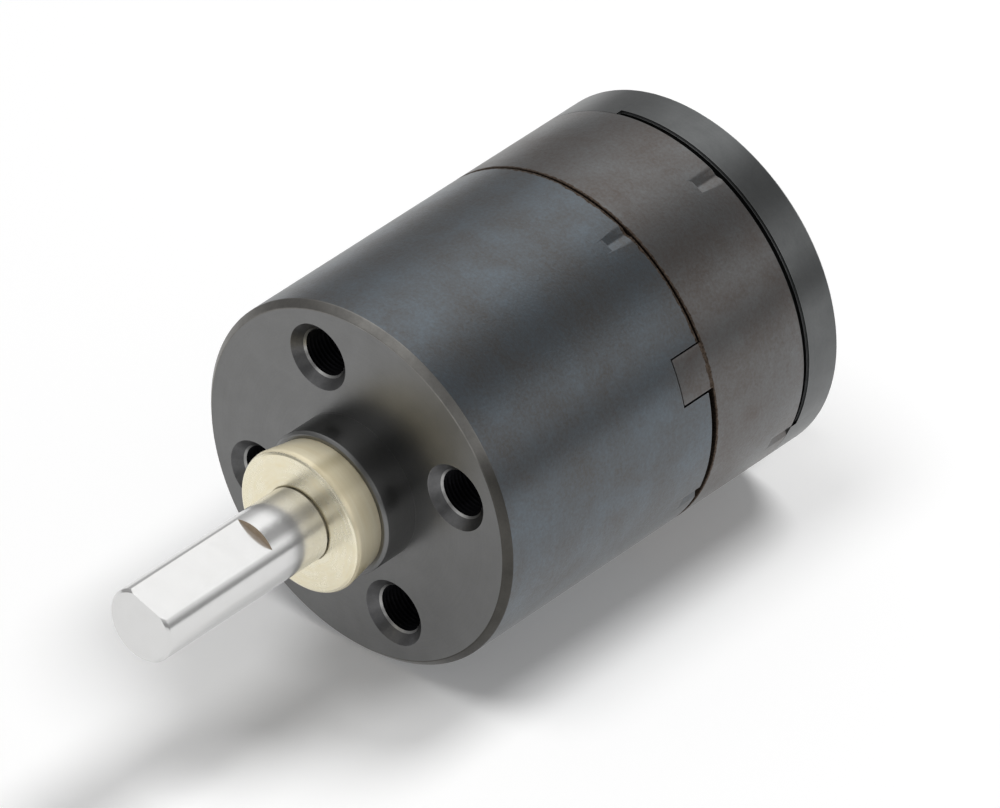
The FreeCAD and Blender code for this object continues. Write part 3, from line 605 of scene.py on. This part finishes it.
# %% Lay a finish
def lay_finish(name, dark, light, metallic, rough, spots=0.5, contrast=2.0, lines=12.0, marks=0.3,
               bump=0.02, wear=None, waver=1.5, grains=9.0, speckle=0.2):
    """rough is the roughness at the dark and at the light tone, wear a colour and a strength.

    bump is the height of the marks in mm, and speckle the share of the fine grain."""
    material = bpy.data.materials.new(name)
    material.use_nodes = True
    tree = material.node_tree
    shader = tree.nodes["Principled BSDF"]
    shader.inputs["Metallic"].default_value = metallic
    tone = add(tree, "ShaderNodeGroup", node_tree=blotch)
    tone.inputs["Spots per mm"].default_value = spots
    tone.inputs["Contrast"].default_value = contrast
    mark = add(tree, "ShaderNodeGroup", node_tree=turning)
    mark.inputs["Lines per mm"].default_value = lines
    mark.inputs["Waver"].default_value = waver
    both = add(tree, "ShaderNodeMix", {"Factor": marks}, data_type="FLOAT")
    tree.links.new(tone.outputs["Tone"], both.inputs["A"])
    tree.links.new(mark.outputs["Mark"], both.inputs["B"])
    fine = add(tree, "ShaderNodeGroup", node_tree=grain)
    fine.inputs["Grains per mm"].default_value = grains
    whole = add(tree, "ShaderNodeMix", {"Factor": speckle}, data_type="FLOAT")
    tree.links.new(both.outputs["Result"], whole.inputs["A"])
    tree.links.new(fine.outputs["Grain"], whole.inputs["B"])
    colour = add(tree, "ShaderNodeMix", data_type="RGBA")
    colour.inputs["A"].default_value = (*dark, 1)
    colour.inputs["B"].default_value = (*light, 1)
    tree.links.new(whole.outputs["Result"], colour.inputs["Factor"])
    gloss = add(tree, "ShaderNodeMapRange", {"To Min": rough[0], "To Max": rough[1]})
    tree.links.new(whole.outputs["Result"], gloss.inputs["Value"])
    relief = add(tree, "ShaderNodeBump", {"Strength": 1.0, "Distance": bump * MM})
    height = add(tree, "ShaderNodeMix", {"Factor": min(1.0, speckle * 1.5)}, data_type="FLOAT")
    tree.links.new(mark.outputs["Mark"], height.inputs["A"])
    tree.links.new(fine.outputs["Grain"], height.inputs["B"])
    tree.links.new(height.outputs["Result"], relief.inputs["Height"])
    tree.links.new(relief.outputs["Normal"], shader.inputs["Normal"])
    last = colour.outputs["Result"]
    if wear:
        edge = add(tree, "ShaderNodeGroup", node_tree=worn)
        edge.inputs["Strength"].default_value = wear[1]
        rubbed = add(tree, "ShaderNodeMix", data_type="RGBA")
        rubbed.inputs["B"].default_value = (*wear[0], 1)
        tree.links.new(edge.outputs["Edge"], rubbed.inputs["Factor"])
        tree.links.new(last, rubbed.inputs["A"])
        last = rubbed.outputs["Result"]
    tree.links.new(last, shader.inputs["Base Color"])
    tree.links.new(gloss.outputs["Result"], shader.inputs["Roughness"])
    print("Finish:", name)
    return material


# %% [markdown]
# ## Old oil over a finish
# The stain could be a material of its own, but the faces don't end where the oil does. So it is
# mixed over the finish that is there: a grainy brown over the colour, and a dull roughness.


# %% Stain a seam
def stain_seam(material, where, width, colour):
    """Adds a dull, brown line of old oil along a seam."""
    tree = material.node_tree
    shader = tree.nodes["Principled BSDF"]
    mask = add(tree, "ShaderNodeGroup", node_tree=stain)
    mask.inputs["Place mm"].default_value = where
    mask.inputs["Width mm"].default_value = width
    crust = add(tree, "ShaderNodeGroup", node_tree=grain)
    crust.inputs["Grains per mm"].default_value = 7
    tones = add(tree, "ShaderNodeMix", data_type="RGBA")
    for socket, share in (("A", 0.45), ("B", 2.0)):
        tones.inputs[socket].default_value = (*[part * share for part in colour], 1)
    tree.links.new(crust.outputs["Grain"], tones.inputs["Factor"])
    for socket, kind in (("Base Color", "RGBA"), ("Roughness", "FLOAT")):
        before = shader.inputs[socket].links[0].from_socket
        blend = add(tree, "ShaderNodeMix", data_type=kind)
        if kind == "RGBA":
            tree.links.new(tones.outputs["Result"], blend.inputs["B"])
        else:
            blend.inputs["B"].default_value = 0.62
        tree.links.new(mask.outputs["Stain"], blend.inputs["Factor"])
        tree.links.new(before, blend.inputs["A"])
        tree.links.new(blend.outputs["Result"], shader.inputs[socket])


# %% [markdown]
# ## Painted bands round the axis
# A turned side mirrors the room in lighter and darker bands that run along the piece. These
# bands are painted into the colour: a colour ramp over the angle round the axis darkens the colour
# that a finish already has, as painted reflection and shade.


# %% Paint reflection bands round the axis
def paint_reflection_bands(material, stops, warm=0.3):
    """Darkens the colour by the angle round the axis, as painted reflection and shade. warm is how
    brown the dark bands turn.
    """
    tree = material.node_tree
    shader = tree.nodes["Principled BSDF"]
    spot = split_place(tree)
    turn = maths(tree, "ARCTAN2", spot["X"], spot["Z"])
    share = maths(tree, "MULTIPLY_ADD", turn, 0.5 / math.pi)
    share.node.inputs[2].default_value = 0.5
    ramp = add(tree, "ShaderNodeValToRGB")
    ramp.color_ramp.interpolation = "EASE"
    while len(ramp.color_ramp.elements) < len(stops):
        ramp.color_ramp.elements.new(0.5)
    for mark, (degrees, tone) in zip(ramp.color_ramp.elements, stops):
        mark.position = degrees / 360 + 0.5
        mark.color = (tone, tone ** (1 + warm / 4), tone ** (1 + warm), 1)
    tree.links.new(share, ramp.inputs["Fac"])
    before = shader.inputs["Base Color"].links[0].from_socket
    blend = add(tree, "ShaderNodeMix", data_type="RGBA", blend_type="MULTIPLY")
    blend.inputs["Factor"].default_value = 1
    tree.links.new(before, blend.inputs["A"])
    tree.links.new(ramp.outputs["Color"], blend.inputs["B"])
    tree.links.new(blend.outputs["Result"], shader.inputs["Base Color"])


# %% [markdown]
# ## Blackened steel
# The case is steel with a thin black oxide. It is still a metal surface, so it keeps its mirror
# look and only loses most of its brightness. The housing is a cool grey, the can a little browner,
# and the front face is faced finer than the sides, so it mirrors the boss. The front chamfer is
# painted as a bright ring, with a painted highlight at the top and painted shade below. The lips
# of the holes are a brighter steel, and the deep bores are painted nearly black as painted shade.

# %% Case finishes
RUBBED = (0.34, 0.34, 0.34)
OLD_OIL = (0.082, 0.062, 0.048)
side_black = lay_finish("blackened_side", (0.113, 0.103, 0.095), (0.150, 0.182, 0.211), 1.0,
                        (0.37, 0.29), spots=0.32, contrast=3.4, lines=7, marks=0.3, bump=0.006,
                        wear=(RUBBED, 2.5), grains=6, speckle=0.42)
face_black = lay_finish("blackened_face", (0.172, 0.172, 0.170), (0.226, 0.227, 0.226), 1.0,
                        (0.36, 0.28), spots=0.5, contrast=2.2, lines=14, marks=0.45, bump=0.004,
                        wear=(RUBBED, 2.5))
can_black = lay_finish("blackened_can", (0.124, 0.103, 0.092), (0.184, 0.193, 0.198), 1.0,
                       (0.39, 0.30), spots=0.36, contrast=3.4, lines=7, marks=0.3, bump=0.006,
                       wear=(RUBBED, 3.0), grains=6, speckle=0.42)
cap_black = lay_finish("blackened_cap", (0.120, 0.124, 0.125), (0.176, 0.182, 0.183), 1.0,
                       (0.36, 0.28), spots=0.5, contrast=2.4, lines=11, marks=0.3, bump=0.003,
                       wear=(RUBBED, 3.0))
sink_black = lay_finish("blackened_sink", (0.105, 0.105, 0.107), (0.170, 0.170, 0.173), 1.0,
                        (0.42, 0.32), spots=1.5, contrast=2.4, lines=9, marks=0.2, bump=0.002,
                        wear=((0.5, 0.5, 0.5), 4.0))
# The lips of the holes are a brighter steel.
lip_steel = lay_finish("bright_lip", (0.30, 0.30, 0.30), (0.50, 0.50, 0.49), 1.0, (0.36, 0.26),
                       spots=2, contrast=2.4, lines=9, marks=0.2, bump=0.001)
# The deep bores are painted nearly black, as painted shade inside the holes.
bore_shade = lay_finish("painted_shade_bore", (0.006, 0.006, 0.007), (0.014, 0.014, 0.016), 1.0,
                        (0.55, 0.42), spots=3, contrast=2.4, lines=9, marks=0.2, bump=0.002)
# The front chamfer is painted as a bright ring, with a painted highlight at the top and painted
# shade below.
chamfer_highlight = lay_finish("chamfer_painted_highlight", (0.22, 0.215, 0.205), (0.36, 0.35, 0.33), 1.0, (0.42, 0.32),
                        spots=0.9, contrast=2.6, lines=7, marks=0.3, bump=0.003)
paint_reflection_bands(chamfer_highlight, [(-180, 0.5), (-90, 0.62), (-20, 0.7), (0, 1.0), (50, 1.0), (64, 0.3),
                         (100, 0.24), (130, 0.24), (180, 0.5)], warm=0.04)
stain_seam(side_black, 15.33, 0.19, OLD_OIL)
stain_seam(can_black, 15.40, 0.15, OLD_OIL)

# %% [markdown]
# ## Bright metals
# The shaft is ground, so its marks run round it very finely and it mirrors the room. The bush is
# pale turned brass, and its side carries painted reflection bands. The steep little wall behind
# the flat is painted brown-grey, as painted shade. Inside are machined steel gears, bearings of
# sintered bronze that hold oil in their pores, copper coils under enamel and a stack of thin steel
# sheets.

# %% Shaft, brass and steel finishes
shaft_steel = lay_finish("ground_steel", (0.79, 0.785, 0.775), (0.88, 0.88, 0.875), 0.82,
                         (0.21, 0.15), spots=0.9, contrast=1.6, lines=22, marks=0.4, bump=0.0003,
                         speckle=0.1)
# The wall behind the flat is painted brown-grey, as painted shade on that steep wall.
flat_wall_shade = lay_finish("painted_shade_wall", (0.32, 0.24, 0.16), (0.54, 0.44, 0.34), 1.0, (0.5, 0.4),
                         spots=3, contrast=2.2, lines=9, marks=0.3, bump=0.001)
bush_brass = lay_finish("faced_brass", (0.92, 0.81, 0.54), (1.0, 0.97, 0.82), 0.95, (0.34, 0.22),
                        spots=0.8, contrast=3.0, lines=5, marks=0.7, bump=0.0012, waver=2.5,
                        speckle=0.03)
side_brass = lay_finish("drawn_brass", (0.84, 0.72, 0.46), (1.0, 0.94, 0.74), 0.2, (0.28, 0.18),
                        spots=0.7, contrast=2.8, lines=5, marks=0.8, bump=0.0008, speckle=0.04)
# The bush's side gets painted reflection bands: lighter and darker stripes by the angle round the
# axis.
paint_reflection_bands(side_brass, [(-180, 0.8), (-60, 0.95), (-14, 1.0), (8, 1.0), (17, 0.70), (26, 0.86),
                         (40, 0.84), (50, 1.0), (58, 1.0), (80, 1.0), (110, 0.8), (180, 0.8)])
gear_steel = lay_finish("machined_steel_finish", (0.42, 0.42, 0.42), (0.58, 0.58, 0.57), 1.0,
                        (0.38, 0.28), spots=1.5, contrast=2, lines=14, marks=0.5, bump=0.002)
bearing_bronze = lay_finish("oiled_bronze", (0.36, 0.24, 0.12), (0.56, 0.41, 0.24), 0.9,
                            (0.55, 0.38), spots=9, contrast=3, lines=8, marks=0.15, bump=0.003)
core_steel = lay_finish("sheet_stack", (0.20, 0.21, 0.22), (0.46, 0.47, 0.48), 0.95, (0.5, 0.35),
                        spots=2, contrast=2, lines=4, marks=0.8, bump=0.02, waver=0.3)
coil_copper = lay_finish("enamelled_copper", (0.46, 0.15, 0.06), (0.80, 0.40, 0.22), 0.9,
                         (0.34, 0.22), spots=2, contrast=2, lines=7, marks=0.7, bump=0.03,
                         waver=0.6)
terminal_tin = lay_finish("tinned_brass_finish", (0.60, 0.57, 0.48), (0.76, 0.72, 0.62), 1.0,
                          (0.34, 0.24), spots=2.5, contrast=2, lines=10, marks=0.2, bump=0.002)

# %% [markdown]
# ## Dull inner parts
# The magnets are pressed ferrite, the brushes carbon, and the brush holder and the collars on the
# terminals are moulded plastic. They don't mirror anything, so their look is a fine grain.

# %% Ferrite, carbon and plastic
magnet_ferrite = lay_finish("pressed_ferrite", (0.050, 0.050, 0.055), (0.105, 0.105, 0.11), 0.0,
                            (0.75, 0.6), spots=4, contrast=2.4, lines=5, marks=0.3, bump=0.01)
brush_carbon = lay_finish("brush_carbon_finish", (0.025, 0.025, 0.027), (0.075, 0.075, 0.078), 0.0,
                          (0.62, 0.48), spots=8, contrast=3, lines=10, marks=0.5, bump=0.008)
dark_plastic = lay_finish("dark_moulding", (0.075, 0.075, 0.082), (0.105, 0.105, 0.115), 0.0,
                          (0.56, 0.46), spots=5, contrast=1.6, lines=6, marks=0.1, bump=0.004)
white_plastic = lay_finish("white_moulding", (0.74, 0.73, 0.69), (0.84, 0.83, 0.80), 0.0,
                           (0.5, 0.4), spots=4, contrast=1.5, lines=6, marks=0.1, bump=0.003)

FINISHES = {
    "black_oxide_steel": side_black, "polished_steel": shaft_steel, "machined_steel": gear_steel,
    "brass": bush_brass, "sintered_bronze": bearing_bronze, "laminated_steel": core_steel,
    "copper": coil_copper, "ferrite": magnet_ferrite, "carbon": brush_carbon,
    "moulded_plastic": dark_plastic, "white_plastic": white_plastic,
    "tinned_brass": terminal_tin}
print("Slots with a finish:", len(FINISHES))

# %% [markdown]
# ## Give every piece its finish and its body
# The CAD pieces inside keep their own meshes and take a finish in each material slot. The new
# pieces stand for the CAD pieces that they replace and ride on the same body.

# %% Finishes on the CAD pieces
for row in frame["record"]["subparts"]:
    node = frame["nodes"][row["node"]]
    if not node.material_slots:
        node.data.materials.append(None)
    for slot in node.material_slots:
        slot.material = FINISHES[row["material_slot"]]


# %% Dress the new pieces
def dress(piece, node, body, finish):
    """Lets a new piece stand for a CAD node, on its body and in its material slot."""
    piece.data.materials.clear()
    piece.data.materials.append(finish)
    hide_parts(node)
    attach(piece, body)
    print(piece.name, "stands for", node, "on", body)


dress(housing, "front_housing", "case", side_black)
dress(can, "motor_can", "case", can_black)
dress(cap, "rear_cap", "case", cap_black)
dress(bush, "output_bush", "case", bush_brass)
dress(shaft, "output_shaft", "output", shaft_steel)

# %% [markdown]
# ## More than one finish on a piece
# Some pieces were worked in several ways, and some faces carry painted light or shade, so some of
# their faces take another finish. They could be picked by hand, but a face's place and direction
# say what it is: the bush's side, the wall behind the flat, the front of the housing with its
# chamfer, and the parts of the four holes.


# %% Give some faces another finish
SINK_RADIUS = 1.86
SINK_END, LIP_END = 0.44, 0.58


def refinish(piece, finish, wanted):
    """Another finish for the faces that the test picks, by centre in mm and by normal."""
    piece.data.materials.append(finish)
    number = len(piece.data.materials) - 1
    count = 0
    for face in piece.data.polygons:
        if wanted(face.center / MM, face.normal):
            face.material_index = number
            count += 1
    print(finish.name, "on", piece.name, "faces:", count)


def in_hole(centre):
    """Whether a place in mm is in one of the tapped holes."""
    for turn in range(HOLES):
        angle = math.radians(PATTERN + 360 / HOLES * turn)
        off = math.hypot(centre.x - HOLE_CIRCLE * math.sin(angle),
                         centre.z - HOLE_CIRCLE * math.cos(angle))
        if off < SINK_RADIUS and 0.005 < centre.y < DRILL_END + 0.2:
            return True
    return False


refinish(bush, side_brass, lambda centre, normal: normal.y > -0.8)
# The wall behind the flat takes the painted shade.
refinish(shaft, flat_wall_shade, lambda centre, normal: normal.y < -0.5 and -9 < centre.y < -6.5)
refinish(housing, face_black, lambda centre, normal: centre.y < 0.02)
# The chamfer's faces take the painted highlight ring.
refinish(housing, chamfer_highlight,
         lambda centre, normal: centre.y < 0.37 and math.hypot(centre.x, centre.z) > 9.6)
refinish(housing, sink_black, lambda centre, normal: in_hole(centre) and centre.y < SINK_END)
# The bores of the holes take the painted shade.
refinish(housing, bore_shade, lambda centre, normal: in_hole(centre) and centre.y >= LIP_END)
refinish(housing, lip_steel,
         lambda centre, normal: in_hole(centre) and SINK_END <= centre.y < LIP_END)

# %% [markdown]
# ## Floor and lamps
# The floor is a plain pale sheet. It is lit to nearly white, and a little is added for camera and
# mirror rays so that it meets the white background, while the object's shadow stays. Two soft
# lamps stand above, the stronger one a little behind the object and the weaker one in front. The
# metal doesn't mirror them: it mirrors the room that comes after them.


# %% Helpers for the floor and the room
def add_shaders(tree, first, second):
    """Two shaders added up, as an output socket."""
    total = add(tree, "ShaderNodeAddShader")
    tree.links.new(first.outputs[0], total.inputs[0])
    tree.links.new(second.outputs[0], total.inputs[1])
    return total.outputs[0]


def seen_directly(tree, rays):
    """1 for the rays that see the plain white background."""
    return maths(tree, "MAXIMUM", rays.outputs["Is Camera Ray"],
                 rays.outputs["Is Transmission Ray"])


# %% Floor
FLOOR = -10.005
PAPER, LIFT = 0.88, 0.16
MIRRORED_PAPER, MIRRORED_GLOW = 0.44, 0.45
start_fresh()
bpy.ops.mesh.primitive_plane_add(size=0.36, location=(0, 0, FLOOR * MM))
floor = name_piece(bpy.context.object, "floor")
sheet = bpy.data.materials.new("pale_sheet")
sheet.use_nodes = True
tree = sheet.node_tree
tree.nodes.clear()
rays = add(tree, "ShaderNodeLightPath")
paper = add(tree, "ShaderNodeBsdfDiffuse", {"Color": grey(PAPER)})
lift = add(tree, "ShaderNodeEmission", {"Color": grey(1)})
tree.links.new(maths(tree, "MULTIPLY", seen_directly(tree, rays), LIFT), lift.inputs["Strength"])
mirrored = add(tree, "ShaderNodeBsdfDiffuse", {"Color": grey(MIRRORED_PAPER)})
glow = add(tree, "ShaderNodeEmission", {"Color": grey(1), "Strength": MIRRORED_GLOW})
either = add(tree, "ShaderNodeMixShader")
tree.links.new(rays.outputs["Is Glossy Ray"], either.inputs[0])
tree.links.new(add_shaders(tree, paper, lift), either.inputs[1])
tree.links.new(add_shaders(tree, mirrored, glow), either.inputs[2])
tree.links.new(either.outputs[0], add(tree, "ShaderNodeOutputMaterial").inputs["Surface"])
floor.data.materials.append(sheet)
print("Floor at", FLOOR, "mm")


# %% Lamps
LAMP_DISTANCE = 0.5


def soft_lamp(name, towards, size, energy):
    """A round lamp that shines at the origin, but that mirror rays don't see."""
    start_fresh()
    towards = Vector(towards).normalized()
    bpy.ops.object.light_add(type="AREA", location=towards * LAMP_DISTANCE)
    lamp = bpy.context.object
    lamp.name = name
    lamp.rotation_euler = towards.to_track_quat("Z", "Y").to_euler()
    lamp.data.shape = "DISK"
    lamp.data.size = size
    lamp.data.energy = energy
    lamp.visible_glossy = False
    print(name, "at", [round(part, 2) for part in lamp.location])


soft_lamp("lamp_behind", (0.13, 0.46, 0.88), 0.2, 1.42)
soft_lamp("lamp_front", (-0.10, -0.24, 0.97), 0.24, 0.8)

# %% [markdown]
# ## A room for the metal to mirror
# Metal looks like what it mirrors. The room could be built from real panels, but they would cast
# light as well, so it is drawn in the world and only mirror rays see it: a bright ceiling panel, a
# side panel and darker gaps between them, by the angle round the motor's axis.

# %% Studio round the object
world = bpy.data.worlds.new("plain_studio")
bpy.context.scene.world = world
world.use_nodes = True
tree = world.node_tree
tree.nodes.clear()
direction = add(tree, "ShaderNodeSeparateXYZ")
tree.links.new(add(tree, "ShaderNodeTexCoord").outputs["Generated"], direction.inputs[0])
around = maths(tree, "ARCTAN2", direction.outputs["X"], direction.outputs["Z"])
share = maths(tree, "ADD", maths(tree, "DIVIDE", around, math.pi), 0.5, clamp=True)
panels = add(tree, "ShaderNodeValToRGB")
PANELS = [(-90, 0.34), (-72, 0.42), (-58, 0.55), (-42, 0.95), (-22, 1.12), (-7, 1.12),
          (1, 0.78), (9, 0.42), (22, 0.26), (40, 0.28), (52, 0.70), (62, 1.0), (73, 0.7),
          (84, 0.2), (90, 0.14)]
steps = panels.color_ramp.elements
while len(steps) < len(PANELS):
    steps.new(0.5)
for step, (degrees, _) in zip(steps, PANELS):
    step.position = (degrees + 90) / 180
for step, (_, value) in zip(steps, PANELS):
    step.color = grey(value)
tree.links.new(share, panels.inputs["Fac"])
print("Panels of the room:", len(PANELS))

# %% [markdown]
# ## What each kind of ray sees
# A room for all rays would tint the floor and hide the white background. The kind of ray decides
# instead: mirror rays see the panels, camera rays white, and the others the even grey, which fills
# the shadows a little.

# %% Share the room out between the rays
AMBIENT = 0.20
dimmer = add(tree, "ShaderNodeMapRange", {"From Min": -0.35, "From Max": 0.25, "To Min": 0.7})
tree.links.new(direction.outputs["Y"], dimmer.inputs["Value"])
shaded = add(tree, "ShaderNodeVectorMath", operation="SCALE")
tree.links.new(panels.outputs["Color"], shaded.inputs[0])
tree.links.new(dimmer.outputs["Result"], shaded.inputs["Scale"])
rays = add(tree, "ShaderNodeLightPath")
mirrored = add(tree, "ShaderNodeMix", data_type="RGBA")
mirrored.inputs["A"].default_value = grey(AMBIENT)
tree.links.new(rays.outputs["Is Glossy Ray"], mirrored.inputs["Factor"])
tree.links.new(shaded.outputs[0], mirrored.inputs["B"])
behind = add(tree, "ShaderNodeMix", data_type="RGBA")
behind.inputs["B"].default_value = grey(1)
tree.links.new(seen_directly(tree, rays), behind.inputs["Factor"])
tree.links.new(mirrored.outputs["Result"], behind.inputs["A"])
backdrop = add(tree, "ShaderNodeBackground", {"Strength": 1})
tree.links.new(behind.outputs["Result"], backdrop.inputs["Color"])
tree.links.new(backdrop.outputs[0], add(tree, "ShaderNodeOutputWorld").inputs["Surface"])

# %% [markdown]
# ## Camera
# The camera's place and lens were fitted to the outlines in the photograph: a long lens, about
# 60 cm away, that looks down on the shaft from the front right.

# %% Camera
CAMERA_PLACE = (0.33302, -0.36203, 0.35902)
CAMERA_LOOK = (-0.54081, 0.60511, -0.58427)
start_fresh()
bpy.ops.object.camera_add(location=CAMERA_PLACE)
camera = bpy.context.object
camera.name = "photo_camera"
camera.rotation_euler = Vector(CAMERA_LOOK).to_track_quat("-Z", "Y").to_euler()
camera.data.lens = 447.87
camera.data.sensor_width = 36
bpy.context.scene.camera = camera
bpy.context.scene.view_settings.view_transform = "Standard"
print("Camera", round(Vector(CAMERA_PLACE).length, 2), "m from the mounting face")

# %% [markdown]
# ## The end
# The dressed model has to stay inside the CAD's box.

# %% The end
import json
